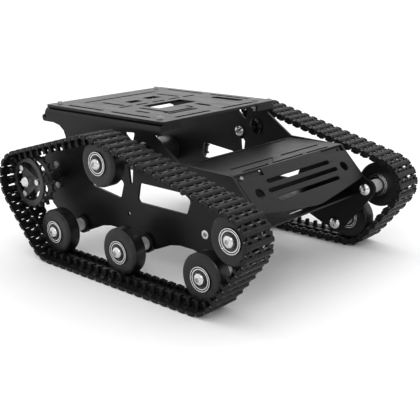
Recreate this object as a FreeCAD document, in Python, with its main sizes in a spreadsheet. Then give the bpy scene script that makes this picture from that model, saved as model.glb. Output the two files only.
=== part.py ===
"""Tracked robot chassis: two folded side plates, a deck, a bent nose panel, ten bearing wheels and two
driven link tracks.  Millimetres.  +X is forward, +Y is the vehicle's left, +Z is up, and the ground is
Z = 0 under the middle of the tracks.  Every right-hand piece is drawn and the left-hand one mirrors it."""
import FreeCAD, Part
import Sketcher
import math
import os

SIZES = {
    # wheels and their places: road wheels in a row, one front idler, one return roller, one sprocket
    "road_height": 23.0, "road_rear_x": -75.0, "road_mid_x": 0.0, "road_front_x": 81.0,
    "idler_x": 107.0, "idler_height": 55.0, "roller_x": -18.5, "roller_height": 86.2,
    "drive_x": -104.1, "drive_height": 59.5,
    "wheel_radius": 17.7, "wheel_inside": 83.2, "wheel_outside": 94.9, "wheel_edge": 1.2,
    # flanged ball bearings, 5 x 16 x 5, two in each wheel
    "bearing_radius": 8.0, "bearing_bore": 2.55, "bearing_width": 5.0,
    "flange_radius": 8.8, "flange_width": 1.0, "race_outer": 6.6, "race_inner": 4.3, "shield": 0.5,
    # folded side plates
    "plate": 2.0, "side_outside": 66.0, "side_inside": 64.0, "side_top": 114.0, "fold_radius": 6.0,
    "flange_edge": 46.0, "side_rear_x": -120.5, "flange_rear_x": -117.0, "side_front_x": 17.0,
    "lobe_radius": 7.5, "motor_lobe": 17.0, "window_corner": 3.0, "wire_hole": 7.4, "wire_hole_height": 92.3,
    "tab_edge": 44.0, "tab_foot": 109.0, "spare_x": -19.3, "spare_height": 42.0, "spare_radius": 1.6,
    "insert_x": 59.4, "insert_height": 41.9, "insert_radius": 2.6, "insert_flange": 3.2,
    # deck plate and its slots
    "deck_rear_x": -116.0, "deck_front_x": 19.0, "deck_half": 64.5, "slot_width": 3.2,
    "edge_slot_rear_x": -75.75, "edge_slot_front_x": -23.75, "edge_slot_y": 56.5, "edge_slot_length": 42.5,
    "hatch_x": -36.75, "hatch_y": -1.5, "hatch_length": 19.5, "hatch_width": 43.0,
    "cable_slot": 8.0, "cable_slot_x": -17.25, "cable_slot_y": 46.5, "cable_slot_length": 32.5,
    "deck_screw_rear_x": -110.5, "deck_screw_front_x": 6.0, "deck_screw_y": 54.5,
    # bonnet and nose panel, one bent sheet
    "sheet": 1.5, "tab_screw": 1.0, "tab_head": 1.9, "tab_head_height": 1.3,
    "bonnet_top": 87.4, "bonnet_rear_x": 34.5, "nose_x": 83.4, "nose_angle": 46.2,
    "nose_half": 63.6, "notch_half": 36.0, "notch_depth": 5.6, "nose_side": 31.0, "nose_tip": 39.0,
    "nose_slot": 3.2, "nose_hole": 4.0, "tab_screw_y": 57.8, "tab_screw_down": 3.3,
    # front cross plate, folded down at both sides
    "cross_front_x": 101.0, "cross_rear_x": 50.0, "cross_top": 51.5, "cross_drop": 34.0,
    # hardware
    "axle_radius": 2.5, "spacer_radius": 5.0, "washer_radius": 7.5, "washer": 2.3,
    "head_radius": 4.75, "head": 2.75, "socket_depth": 1.6, "socket": 1.6, "bolt_reach": 12.0,
    "small_head": 2.75, "small_head_height": 1.65, "small_screw": 1.5, "small_nut_corner": 3.18, "small_nut": 2.4,
    # gear motors
    "gearbox_radius": 12.5, "gearbox_length": 21.0, "can_radius": 12.1, "can_length": 30.0,
    "shaft_radius": 3.0, "shaft_bite": 6.0, "running_gap": 0.05, "motor_screw_radius": 8.5,
    # sprockets: two toothed discs with a three-cornered hub between them
    "teeth": 18, "hub_radius": 6.0, "hub_inside": 69.0, "disc_inner_in": 85.7, "disc_inner_out": 88.2,
    "disc_outer_in": 93.5, "disc_outer_out": 95.2, "ring_out": 96.1, "ring_outer": 20.0, "ring_inner": 15.6,
    "tooth_tip": 22.6, "tooth_width": 3.0, "spider_reach": 16.4, "sprocket_screw": 12.0,
    "spider_turn": 5.0, "centre_head_radius": 4.4, "centre_head_out": 100.4, "centre_bite": 8.0,
    # track links, measured from the pin line; the outer side is the tread
    "pin_drop": 21.2, "link_count": 71, "tread_out": 1.8, "tread_in": 0.9, "tread_length": 5.8,
    "pad_in": 2.8, "pad_length": 6.6, "rail_inner_in": 3.5, "rail_outer_in": 1.3,
    "knob_inner_up": 4.3, "knob_outer_up": 6.6, "knob_length": 2.8,
    "track_inside": 78.5, "knob_inner_in": 79.4, "knob_inner_out": 82.6, "slit_inside": 85.2,
    "pad_inside": 88.6, "pad_outside": 93.0, "knob_outer_in": 96.5, "knob_outer_out": 99.7, "track_outside": 106.0,
    "pin_radius": 0.6, "knuckle_radius": 1.1, "knuckle_gap": 0.4,
}

DOC = FreeCAD.newDocument("TrackedChassis")
SHEET = DOC.addObject("Spreadsheet::Sheet", "sizes")
X_AXIS, Y_AXIS, Z_AXIS = FreeCAD.Vector(1, 0, 0), FreeCAD.Vector(0, 1, 0), FreeCAD.Vector(0, 0, 1)
NODES = []


class Size(float):
    """A number that remembers the sheet formula it comes from."""

    def __new__(cls, value, text=None):
        size = float.__new__(cls, value)
        size.text = text or repr(float(value))
        return size

    def __add__(self, other):
        other = as_size(other)
        return Size(float(self) + float(other), f"({self.text} + {other.text})")

    def __sub__(self, other):
        other = as_size(other)
        return Size(float(self) - float(other), f"({self.text} - {other.text})")

    def __mul__(self, other):
        other = as_size(other)
        return Size(float(self) * float(other), f"({self.text} * {other.text})")

    def __truediv__(self, other):
        other = as_size(other)
        return Size(float(self) / float(other), f"({self.text} / {other.text})")

    def __neg__(self):
        return Size(-float(self), f"(0 - {self.text})")


def as_size(value):
    return value if isinstance(value, Size) else Size(value)


class Sizes:
    """The sheet's aliases as attributes."""


def fill_sheet():
    sizes = Sizes()
    for row, (alias, value) in enumerate(SIZES.items(), start=1):
        SHEET.set(f"A{row}", alias.replace("_", " "))
        SHEET.set(f"B{row}", str(value))
        SHEET.setAlias(f"B{row}", alias)
        setattr(sizes, alias, Size(value, f"sizes.{alias}"))
    DOC.recompute()
    return sizes


S = fill_sheet()


def bind(item, **formulas):
    """Ties properties to the sheet; a double underscore in a keyword stands for a dot."""
    for name, size in formulas.items():
        item.setExpression(name.replace("__", "."), as_size(size).text)


def node(item, label):
    """Names a finished piece, which is written to a file of that name."""
    item.Label = label
    NODES.append(item)
    return item


def mirrored(item, label):
    """The left-hand twin of a right-hand piece."""
    twin = DOC.addObject("Part::Mirroring", label)
    twin.Source = item
    twin.Normal = Y_AXIS
    return node(twin, label)


# ---------------------------------------------------------------- sketches and bodies

def origin_plane(body, role):
    return next(plane for plane in body.Origin.OriginFeatures if plane.Role == role)


def new_sketch(body, name, role, offset=0.0):
    sketch = body.newObject("Sketcher::SketchObject", name)
    sketch.AttachmentSupport = [(origin_plane(body, role), "")]
    sketch.MapMode = "FlatFace"
    bind(sketch, AttachmentOffset__Base__z=offset)
    return sketch


def pin_point(sketch, edge, point, place, tag):
    """Fixes one point of the sketch at a place measured from its origin."""
    for axis, size in zip("XY", place):
        size = as_size(size)
        rule = Sketcher.Constraint("Distance" + axis, -1, 1, edge, point, float(size))
        name = f"{axis}{tag}"
        sketch.renameConstraint(sketch.addConstraint(rule), name)
        sketch.setExpression("Constraints." + name, size.text)


def pin_radius(sketch, edge, radius, tag):
    rule = Sketcher.Constraint("Radius", edge, float(radius))
    sketch.renameConstraint(sketch.addConstraint(rule), f"R{tag}")
    sketch.setExpression(f"Constraints.R{tag}", as_size(radius).text)


def draw_outline(sketch, corners):
    """A closed outline of straight lines, each corner held by two sizes."""
    first = sketch.GeometryCount
    count = len(corners)
    for here in range(count):
        ends = [FreeCAD.Vector(float(x), float(y), 0) for x, y in (corners[here], corners[(here + 1) % count])]
        sketch.addGeometry(Part.LineSegment(*ends), False)
    for here in range(count):
        after = first + (here + 1) % count
        sketch.addConstraint(Sketcher.Constraint("Coincident", first + here, 2, after, 1))
        pin_point(sketch, first + here, 1, corners[here], f"{first + here}")


def draw_circle(sketch, centre, radius):
    middle = FreeCAD.Vector(float(centre[0]), float(centre[1]), 0)
    edge = sketch.addGeometry(Part.Circle(middle, Z_AXIS, float(radius)), False)
    pin_point(sketch, edge, 3, centre, f"{edge}")
    pin_radius(sketch, edge, radius, edge)


def draw_slot(sketch, centre, length, width, across=False):
    """A round-ended slot along the sketch's first axis, or across it."""
    radius = width / 2
    reach = (length - width) / 2
    x, y = as_size(centre[0]), as_size(centre[1])
    ends = [(x, y - reach), (x, y + reach)] if across else [(x - reach, y), (x + reach, y)]
    turn = math.pi / 2 if across else 0.0
    arcs = []
    for end, start in zip(ends, (turn + math.pi / 2, turn - math.pi / 2)):
        middle = FreeCAD.Vector(float(end[0]), float(end[1]), 0)
        circle = Part.Circle(middle, Z_AXIS, float(radius))
        arcs.append(sketch.addGeometry(Part.ArcOfCircle(circle, start, start + math.pi), False))
    tips = [sketch.getPoint(arc, point) for arc in arcs for point in (1, 2)]
    lower = sketch.addGeometry(Part.LineSegment(tips[1], tips[2]), False)
    upper = sketch.addGeometry(Part.LineSegment(tips[3], tips[0]), False)
    for one, one_end, other, other_end in ((arcs[0], 2, lower, 1), (lower, 2, arcs[1], 1),
                                           (arcs[1], 2, upper, 1), (upper, 2, arcs[0], 1)):
        sketch.addConstraint(Sketcher.Constraint("Tangent", one, one_end, other, other_end))
    sketch.addConstraint(Sketcher.Constraint("Equal", arcs[0], arcs[1]))
    for arc, end in zip(arcs, ends):
        pin_point(sketch, arc, 3, end, f"{arc}")
    pin_radius(sketch, arcs[0], radius, arcs[0])


def pad(body, sketch, length, reverse=False):
    feature = body.newObject("PartDesign::Pad", sketch.Name + "_pad")
    feature.Profile = sketch
    feature.Reversed = reverse
    bind(feature, Length=length)
    return feature


def pocket(body, sketch):
    """Cuts the sketch right through the body, both ways, and proves that it removed something."""
    DOC.recompute()
    before = body.Shape.Volume
    feature = body.newObject("PartDesign::Pocket", sketch.Name + "_pocket")
    feature.Profile = sketch
    feature.Type = 1
    feature.Midplane = True
    DOC.recompute()
    if not body.Shape.Volume < before - 0.01:
        raise RuntimeError(f"{sketch.Name} cut nothing")
    return feature


def edge_names(shape, wanted):
    return [f"Edge{number}" for number, edge in enumerate(shape.Edges, start=1) if wanted(edge)]


def round_edges(body, wanted, radius):
    DOC.recompute()
    base = body.Tip
    names = edge_names(base.Shape, wanted)
    if not names:
        raise RuntimeError(f"no edge to round in {body.Label}")
    feature = body.newObject("PartDesign::Fillet", f"{body.Name}_round_{len(body.Group)}")
    feature.Base = (base, names)
    bind(feature, Radius=radius)
    DOC.recompute()


def upright_edge_near(places, axis):
    """Picks the straight edges along one axis that stand at any of the given places."""
    spare = [number for number in range(3) if number != axis]

    def wanted(edge):
        if len(edge.Vertexes) != 2:
            return False
        ends = [vertex.Point for vertex in edge.Vertexes]
        if any(abs(ends[0][number] - ends[1][number]) > 0.01 for number in spare):
            return False
        return any(all(abs(ends[0][number] - float(size)) < 0.05 for number, size in zip(spare, place))
                   for place in places)
    return wanted


def turned(name, profile, x=0.0, z=0.0):
    """A piece turned about an axle along Y: the profile is (radius, y) corners."""
    body = DOC.addObject("PartDesign::Body", name)
    sketch = new_sketch(body, name + "_profile", "XY_Plane")
    draw_outline(sketch, profile)
    feature = body.newObject("PartDesign::Revolution", name + "_turn")
    feature.Profile = sketch
    feature.ReferenceAxis = (sketch, ["V_Axis"])
    feature.Angle = 360
    bind(body, Placement__Base__x=x, Placement__Base__z=z)
    return body


def tube(name, bore, radius, inside, outside, x=0.0, z=0.0):
    """A ring or tube on the right-hand side, from one distance off the centre line to another."""
    return turned(name, [(bore, -inside), (radius, -inside), (radius, -outside), (bore, -outside)], x, z)


def group(items, name):
    bunch = DOC.addObject("Part::Compound", name)
    bunch.Links = items
    return bunch


def hexagon(name, corner, bore, thick, place, turn):
    """A hexagon nut with a plain bore; turn lays its axis along the bolt."""
    prism = DOC.addObject("Part::Prism", name + "_hexagon")
    prism.Polygon = 6
    bind(prism, Circumradius=corner, Height=thick)
    hole = DOC.addObject("Part::Cylinder", name + "_hole")
    bind(hole, Radius=bore, Height=thick)
    result = DOC.addObject("Part::Cut", name)
    result.Base = prism
    result.Tool = hole
    result.Placement = FreeCAD.Placement(FreeCAD.Vector(0, 0, 0), turn)
    bind(result, Placement__Base__x=place[0], Placement__Base__y=place[1], Placement__Base__z=place[2])
    return result


ALONG_LEFT = FreeCAD.Rotation(X_AXIS, -90)
UPRIGHT = FreeCAD.Rotation()

# the wheels of one side: name, forward place, height
WHEELS = [("road_wheel_rear", S.road_rear_x, S.road_height), ("road_wheel_mid", S.road_mid_x, S.road_height),
          ("road_wheel_front", S.road_front_x, S.road_height), ("idler_wheel", S.idler_x, S.idler_height),
          ("return_roller", S.roller_x, S.roller_height)]


# ---------------------------------------------------------------- side plates

# the belly between two axles: how far from the nearer axle, and how high
BELLY = [(9.0, 19.5), (25.0, 26.3), (34.0, 28.0)]


def side_outline():
    """Corners (x, z) of the flat of the side plate, from the upper rear hook round by the belly."""
    corners = [(S.side_rear_x, S.side_top - S.fold_radius), (S.side_rear_x, 102.4), (-106.0, 102.4),
               (-98.5, 100.9), (-93.4, 97.2), (-91.2, 92.0), (-91.6, 84.5), (-97.0, 80.5), (-117.0, 77.5),
               (-121.5, 72.0), (-121.5, 46.0), (-114.0, 33.0), (-98.0, 22.0), (S.road_rear_x - 9.0, 15.8)]
    for axle in (S.road_rear_x, S.road_mid_x):
        corners += [(axle + away, height) for away, height in BELLY]
        after = S.road_mid_x if axle == S.road_rear_x else S.road_front_x
        corners += [(after - away, height) for away, height in reversed(BELLY)]
    corners += [(S.road_front_x + 6.2, S.road_height - 4.2), (S.idler_x + 7.1, S.idler_height - 3.6),
                (S.idler_x + 6.4, S.idler_height + 4.8), (104.2, 65.4), (S.nose_x, 87.2), (35.6, 88.5),
                (10.5, 105.6), (S.side_front_x, S.tab_foot - 0.5), (S.side_front_x, S.side_top - S.fold_radius)]
    return corners


# window corners (x, z) in the side plate, as it is seen from the right
REAR_WINDOW = [(-63.0, 57.5), (-27.5, 52.5), (-23.0, 66.8), (-61.0, 71.0)]
FRONT_WINDOW = [(-9.5, 53.0), (42.0, 52.7), (46.0, 64.0), (39.0, 68.0), (-6.0, 68.3)]
RIB_SLIT = [(-18.2, 83.6), (-16.6, 66.0), (-14.0, 66.0), (-12.0, 83.6)]
UPPER_WINDOW = [(-21.5, 104.5), (-9.2, 105.5), (-12.0, 96.5)]


def on_slope(down, out):
    """A place (x, z) near the nose panel: so far down its slope and so far out of its outer face."""
    angle = math.radians(S.nose_angle)
    return (S.nose_x + down * math.cos(angle) + out * math.sin(angle),
            S.bonnet_top - down * math.sin(angle) + out * math.cos(angle))


def lay_on_slope(item, out):
    """Stands a piece square to the nose panel at the right-hand tab screw, its foot out of the panel's face."""
    foot_x, foot_z = on_slope(S.tab_screw_down, out)
    item.Placement = FreeCAD.Placement(FreeCAD.Vector(0, 0, 0), FreeCAD.Rotation(Y_AXIS, float(S.nose_angle)))
    bind(item, Placement__Base__x=foot_x, Placement__Base__y=-S.tab_screw_y, Placement__Base__z=foot_z)


def side_plate():
    body = DOC.addObject("PartDesign::Body", "side_plate")
    fold = new_sketch(body, "side_fold", "YZ_Plane", S.flange_rear_x)
    foot = S.side_top - S.fold_radius - 2
    draw_outline(fold, [(-S.side_outside, foot), (-S.side_inside, foot),
                        (-S.side_inside, S.side_top - S.plate), (-S.flange_edge, S.side_top - S.plate),
                        (-S.flange_edge, S.side_top), (-S.side_outside, S.side_top)])
    pad(body, fold, S.side_front_x - S.flange_rear_x)
    round_edges(body, upright_edge_near([(-S.side_outside, S.side_top)], 0), S.fold_radius)
    inner = [(-S.side_inside, S.side_top - S.plate)]
    round_edges(body, upright_edge_near(inner, 0), S.fold_radius - S.plate)

    flat = new_sketch(body, "side_flat", "XZ_Plane", S.side_inside)
    draw_outline(flat, side_outline())
    pad(body, flat, S.plate)
    for number, (_, x, z) in enumerate(WHEELS[:4]):
        lobe = new_sketch(body, f"side_lobe_{number}", "XZ_Plane", S.side_inside)
        draw_circle(lobe, (x, z), S.lobe_radius)
        pad(body, lobe, S.plate)
    lobe = new_sketch(body, "side_motor_lobe", "XZ_Plane", S.side_inside)
    draw_circle(lobe, (S.drive_x, S.drive_height), S.motor_lobe)
    pad(body, lobe, S.plate)
    tab = new_sketch(body, "side_tab", "YZ_Plane", S.side_front_x - S.plate)
    draw_outline(tab, [(-S.side_inside - 1, S.tab_foot), (-S.tab_edge, S.tab_foot),
                       (-S.tab_edge, S.side_top - S.plate / 2), (-S.side_inside - 1, S.side_top - S.plate / 2)])
    pad(body, tab, S.plate)

    inner_edge = S.notch_half + 1
    nose_tab = new_sketch(body, "side_nose_tab", "XZ_Plane", inner_edge)
    near, far = as_size(0.8), S.notch_depth - 0.4
    outer, under = -S.sheet, -S.sheet - S.plate
    draw_outline(nose_tab, [on_slope(near, outer), on_slope(near, under), on_slope(far, under),
                            on_slope(far, outer)])
    pad(body, nose_tab, S.side_inside - inner_edge)
    ledge = new_sketch(body, "side_bonnet_ledge", "XZ_Plane", inner_edge)
    height = S.bonnet_top - S.sheet
    draw_outline(ledge, [(40.0, height - S.plate), (52.0, height - S.plate), (52.0, height), (40.0, height)])
    pad(body, ledge, S.side_inside - inner_edge)

    windows = new_sketch(body, "side_windows", "XZ_Plane", S.side_inside)
    for outline in (REAR_WINDOW, FRONT_WINDOW, RIB_SLIT, UPPER_WINDOW):
        draw_outline(windows, outline)
    pocket(body, windows)
    holes = new_sketch(body, "side_holes", "XZ_Plane", S.side_inside)
    for _, x, z in WHEELS:
        draw_circle(holes, (x, z), S.axle_radius + 0.1)
    draw_circle(holes, (S.drive_x, S.drive_height), S.shaft_radius + 0.6)
    for sign in (-1, 1):
        draw_circle(holes, (S.drive_x, S.drive_height + S.motor_screw_radius * sign), S.small_screw + 0.1)
    draw_circle(holes, (S.spare_x, S.spare_height), S.spare_radius)
    draw_circle(holes, (S.insert_x, S.insert_height), S.insert_radius)
    draw_circle(holes, (0.0, S.wire_hole_height), S.wire_hole)
    draw_circle(holes, (-116.6, 106.4), 1.3)
    pocket(body, holes)
    deck_holes = new_sketch(body, "side_deck_holes", "XY_Plane", S.side_top)
    for x in (S.deck_screw_rear_x, S.deck_screw_front_x):
        draw_circle(deck_holes, (x, -S.deck_screw_y), S.small_screw + 0.1)
    for x in (S.edge_slot_rear_x, S.edge_slot_front_x):
        draw_slot(deck_holes, (x, -S.edge_slot_y), S.edge_slot_length, S.slot_width)
    draw_slot(deck_holes, (S.cable_slot_x, -S.cable_slot_y), S.cable_slot_length, S.cable_slot)
    pocket(body, deck_holes)
    round_edges(body, upright_edge_near(REAR_WINDOW + FRONT_WINDOW, 1), S.window_corner)
    round_edges(body, upright_edge_near(RIB_SLIT + UPPER_WINDOW, 1), S.window_corner / 3)
    hook = [(S.side_rear_x, 102.4), (S.side_rear_x, S.side_top - S.fold_radius)]
    round_edges(body, upright_edge_near(hook, 1), S.window_corner - 0.4)
    drill = DOC.addObject("Part::Cylinder", "nose_tab_drill")
    bind(drill, Radius=S.tab_screw + S.running_gap, Height=S.plate * 2)
    lay_on_slope(drill, -S.sheet - S.plate * 1.5)
    drilled = DOC.addObject("Part::Cut", "side_plate_drilled")
    drilled.Base, drilled.Tool = body, drill
    node(drilled, "side_plate_right")
    mirrored(drilled, "side_plate_left")


# ---------------------------------------------------------------- deck

# small rectangular cut-outs of the deck: rear, front, right and left edges
DECK_CUTOUTS = [(-73.5, -64.5, -18.0, -4.5), (-78.0, -68.0, 6.0, 20.0), (-20.0, -4.0, 9.0, 14.0),
                (-19.0, -11.4, -3.0, 0.5)]


def deck_plate():
    body = DOC.addObject("PartDesign::Body", "deck")
    outline = new_sketch(body, "deck_outline", "XY_Plane", S.side_top)
    draw_outline(outline, [(S.deck_rear_x, -S.deck_half), (S.deck_front_x, -S.deck_half),
                           (S.deck_front_x, S.deck_half), (S.deck_rear_x, S.deck_half)])
    pad(body, outline, S.plate)
    corners = [(x, y) for x in (S.deck_rear_x, S.deck_front_x) for y in (-S.deck_half, S.deck_half)]
    round_edges(body, upright_edge_near(corners, 2), S.plate)

    edge = new_sketch(body, "deck_edge_slots", "XY_Plane", S.side_top)
    for side in (-1, 1):
        for x in (S.edge_slot_rear_x, S.edge_slot_front_x):
            draw_slot(edge, (x, S.edge_slot_y * side), S.edge_slot_length, S.slot_width)
        draw_slot(edge, (11.5, 25.5 * side), as_size(38), S.slot_width, across=True)
    draw_slot(edge, (-96.5, 0.0), as_size(80), S.slot_width, across=True)
    pocket(body, edge)
    rows = new_sketch(body, "deck_row_slots", "XY_Plane", S.side_top)
    for place in (-33.5, -15.5, 2.5, 20.5, 38.5):
        draw_slot(rows, (-54.0, place), as_size(14), S.slot_width, across=True)
    for side in (-1, 1):
        draw_slot(rows, (-72.0, 31.0 * side), as_size(26), S.slot_width)
    for x in (-8.4, -3.6):
        draw_slot(rows, (x, -20.7), as_size(31.5), S.slot_width, across=True)
    pocket(body, rows)
    middle = new_sketch(body, "deck_middle_slots", "XY_Plane", S.side_top)
    draw_slot(middle, (-24.5, -31.0), as_size(33), S.slot_width)
    draw_slot(middle, (-25.3, -42.3), as_size(15.4), S.slot_width)
    draw_slot(middle, (S.cable_slot_x, S.cable_slot_y), S.cable_slot_length, S.cable_slot)
    half_long, half_wide = S.hatch_length / 2, S.hatch_width / 2
    draw_outline(middle, [(S.hatch_x - half_long, S.hatch_y - half_wide),
                          (S.hatch_x + half_long, S.hatch_y - half_wide),
                          (S.hatch_x + half_long, S.hatch_y + half_wide),
                          (S.hatch_x - half_long, S.hatch_y + half_wide)])
    for rear, front, right, left in DECK_CUTOUTS:
        draw_outline(middle, [(rear, right), (front, right), (front, left), (rear, left)])
    for x in (S.deck_screw_rear_x, S.deck_screw_front_x):
        for side in (-1, 1):
            draw_circle(middle, (x, S.deck_screw_y * side), S.small_screw + 0.1)
    pocket(body, middle)
    node(body, "deck_plate")


def deck_fasteners():
    """Four button-head screws down through the deck and the side flanges, with nuts underneath."""
    screws, nuts = [], []
    for x in (S.deck_screw_rear_x, S.deck_screw_front_x):
        for side in (-1, 1):
            name = f"deck_screw_{len(screws)}"
            stem = DOC.addObject("Part::Cylinder", name + "_stem")
            bind(stem, Radius=S.small_screw, Height=as_size(9), Placement__Base__x=x,
                 Placement__Base__y=S.deck_screw_y * side, Placement__Base__z=S.side_top + S.plate - 9)
            cap = DOC.addObject("Part::Cone", name + "_cap")
            bind(cap, Radius1=S.small_head, Radius2=S.small_head * 0.6, Height=S.small_head_height,
                 Placement__Base__x=x, Placement__Base__y=S.deck_screw_y * side,
                 Placement__Base__z=S.side_top + S.plate)
            screw = DOC.addObject("Part::Fuse", name)
            screw.Base, screw.Tool = stem, cap
            screws.append(screw)
            under = S.side_top - S.plate - S.small_nut
            nuts.append(hexagon(f"deck_nut_{len(nuts)}", S.small_nut_corner, S.small_screw + S.running_gap,
                                S.small_nut,
                                (x, S.deck_screw_y * side, under), UPRIGHT))
    node(group(screws, "deck_screw_set"), "deck_screws")
    node(group(nuts, "deck_nut_set"), "deck_nuts")


# ---------------------------------------------------------------- bonnet, nose and cross plate

def bonnet_and_nose():
    flat = DOC.addObject("PartDesign::Body", "bonnet")
    outline = new_sketch(flat, "bonnet_outline", "XY_Plane", S.bonnet_top - S.sheet)
    draw_outline(outline, [(S.bonnet_rear_x, -S.nose_half), (S.nose_x, -S.nose_half),
                           (S.nose_x, S.nose_half), (S.bonnet_rear_x, S.nose_half)])
    pad(flat, outline, S.sheet)
    slots = new_sketch(flat, "bonnet_slots", "XY_Plane", S.bonnet_top)
    thin = S.slot_width * 0.7
    draw_slot(slots, (38.5, -23.5), as_size(49), thin, across=True)
    draw_slot(slots, (38.5, 33.8), as_size(41.5), thin, across=True)
    for side in (-1, 1):
        draw_slot(slots, (70.5, 28.5 * side), as_size(47), thin, across=True)
        draw_slot(slots, (80.6, 37.0 * side), as_size(28), thin, across=True)
    draw_slot(slots, (80.6, 0.0), as_size(36), thin, across=True)
    pocket(flat, slots)

    nose = DOC.addObject("PartDesign::Body", "nose")
    outline = new_sketch(nose, "nose_outline", "XY_Plane", -S.sheet)
    edge = [(0.0, -S.notch_half), (S.notch_depth, -S.notch_half), (S.notch_depth, -S.nose_half),
            (S.nose_side, -S.nose_half), (S.nose_tip - 4, -S.notch_half), (S.nose_tip, -4.0)]
    draw_outline(outline, edge + [(x, -as_size(y)) for x, y in reversed(edge)])
    pad(nose, outline, S.sheet)
    slots = new_sketch(nose, "nose_slots", "XY_Plane", 0.0)
    for down, length in ((11.0, 75.0), (18.0, 83.0), (25.2, 74.0)):
        draw_slot(slots, (down, 0.0), as_size(length), S.nose_slot, across=True)
    for side in (-1, 1):
        draw_circle(slots, (18.0, 51.0 * side), S.nose_hole)
    pocket(nose, slots)
    nose.Placement = FreeCAD.Placement(FreeCAD.Vector(0, 0, 0), FreeCAD.Rotation(Y_AXIS, float(S.nose_angle)))
    bind(nose, Placement__Base__x=S.nose_x, Placement__Base__z=S.bonnet_top)
    sheet = DOC.addObject("Part::Fuse", "bonnet_and_nose")
    sheet.Base, sheet.Tool = flat, nose
    node(sheet, "bonnet_panel")


def cross_plate():
    """A tray across the front, folded down at both sides and screwed to the side plates."""
    body = DOC.addObject("PartDesign::Body", "cross")
    half = S.side_inside
    section = new_sketch(body, "cross_section", "YZ_Plane", S.cross_rear_x)
    top, under = S.cross_top, S.cross_top - S.sheet
    draw_outline(section, [(-half, S.cross_drop), (-half + S.sheet, S.cross_drop), (-half + S.sheet, under),
                           (half - S.sheet, under), (half - S.sheet, S.cross_drop), (half, S.cross_drop),
                           (half, top), (-half, top)])
    pad(body, section, as_size(22))
    apron = new_sketch(body, "cross_apron", "XY_Plane", under)
    draw_outline(apron, [(S.cross_rear_x + 10, -half), (S.cross_front_x, -half), (S.cross_front_x, half),
                         (S.cross_rear_x + 10, half)])
    pad(body, apron, S.sheet)
    holes = new_sketch(body, "cross_slots", "XY_Plane", top)
    draw_slot(holes, (92.5, 0.0), as_size(30), S.nose_slot, across=True)
    pocket(body, holes)
    sides = new_sketch(body, "cross_insert_holes", "XZ_Plane", 0.0)
    draw_circle(sides, (S.insert_x, S.insert_height), S.insert_radius)
    pocket(body, sides)
    node(body, "front_cross_plate")
    inside = S.side_inside - S.sheet
    right = turned("insert", [(S.small_screw, -inside), (S.insert_radius, -inside),
                              (S.insert_radius, -S.side_outside), (S.insert_flange, -S.side_outside),
                              (S.insert_flange, -S.side_outside - 0.8), (S.small_screw, -S.side_outside - 0.8)],
                   S.insert_x, S.insert_height)
    left = DOC.addObject("Part::Mirroring", "insert_left")
    left.Source = right
    left.Normal = Y_AXIS
    node(group([right, left], "insert_set"), "threaded_inserts")


# ---------------------------------------------------------------- wheels, bearings and axles

def wheel(name, x, z):
    edge, outside, inside = S.wheel_edge, -S.wheel_outside, -S.wheel_inside
    body = turned(name, [(S.bearing_radius, inside), (S.wheel_radius - edge, inside),
                         (S.wheel_radius, inside - edge), (S.wheel_radius, outside + edge),
                         (S.wheel_radius - edge, outside), (S.bearing_radius, outside)], x, z)
    node(body, f"{name}_right")
    mirrored(body, f"{name}_left")


def bearing_shell(name, face, way, x, z):
    """Outer ring, flange and shield of one bearing; way points from its flange into the wheel."""
    flange, depth = face - way * S.flange_width, face + way * (S.bearing_width - S.flange_width)
    sunk = flange + way * 0.2
    eye = S.race_inner + 0.2
    return turned(name, [(eye, sunk), (S.race_outer, sunk), (S.race_outer, flange), (S.flange_radius, flange),
                         (S.flange_radius, face), (S.bearing_radius, face), (S.bearing_radius, depth),
                         (S.race_outer, depth), (S.race_outer, sunk + way * S.shield),
                         (eye, sunk + way * S.shield)], x, z)


def bearings(name, x, z):
    outer = bearing_shell(f"{name}_bearing_out", -S.wheel_outside, Size(1.0), x, z)
    inner = bearing_shell(f"{name}_bearing_in", -S.wheel_inside, Size(-1.0), x, z)
    pair = node(group([outer, inner], f"{name}_bearing_pair"), f"{name}_bearings_right")
    mirrored(pair, f"{name}_bearings_left")


def button_screw(name, face, way, length, x, z):
    """A button-head screw on a face at |Y| = face; way points from the shank to the head."""
    head = face + way * S.head
    return turned(name, [(0, -face + way * length), (S.axle_radius, -face + way * length),
                         (S.axle_radius, -face), (S.head_radius, -face), (S.head_radius, -face - way * 0.7),
                         (S.head_radius * 0.88, -face - way * 1.9), (S.head_radius * 0.62, -head),
                         (S.socket, -head), (S.socket, -head + way * S.socket_depth),
                         (0, -head + way * S.socket_depth)], x, z)


def axle_set():
    """The fixed pieces on the five axles of one side, each kind gathered in one node."""
    rings, bolts, washers, spacers, wheel_screws = [], [], [], [], []
    ring_in = S.wheel_inside - S.flange_width
    ring_out = S.wheel_outside + S.flange_width
    width = (ring_out - ring_in) / 2
    for name, x, z in WHEELS:
        for number, inside in enumerate((ring_in, ring_in + width)):
            rings.append(tube(f"{name}_ring_{number}", S.bearing_bore, S.race_inner, inside, inside + width,
                              x, z))
        washers.append(tube(f"{name}_washer", S.bearing_bore, S.washer_radius, S.side_outside,
                            S.side_outside + S.washer, x, z))
        spacers.append(tube(f"{name}_spacer", S.bearing_bore, S.spacer_radius, S.side_outside + S.washer,
                            ring_in, x, z))
        bolts.append(button_screw(f"{name}_bolt", S.side_inside, Size(-1.0), S.bolt_reach, x, z))
        wheel_screws.append(button_screw(f"{name}_screw", ring_out, Size(1.0),
                                         ring_out - S.side_inside - S.bolt_reach - 1, x, z))
    for items, label in ((rings, "bearing_inner_rings"), (bolts, "axle_bolts"), (washers, "axle_washers"),
                         (spacers, "wheel_spacers"), (wheel_screws, "wheel_screws")):
        pieces = node(group(items, label + "_set"), label + "_right")
        mirrored(pieces, label + "_left")


# ---------------------------------------------------------------- drive

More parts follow.
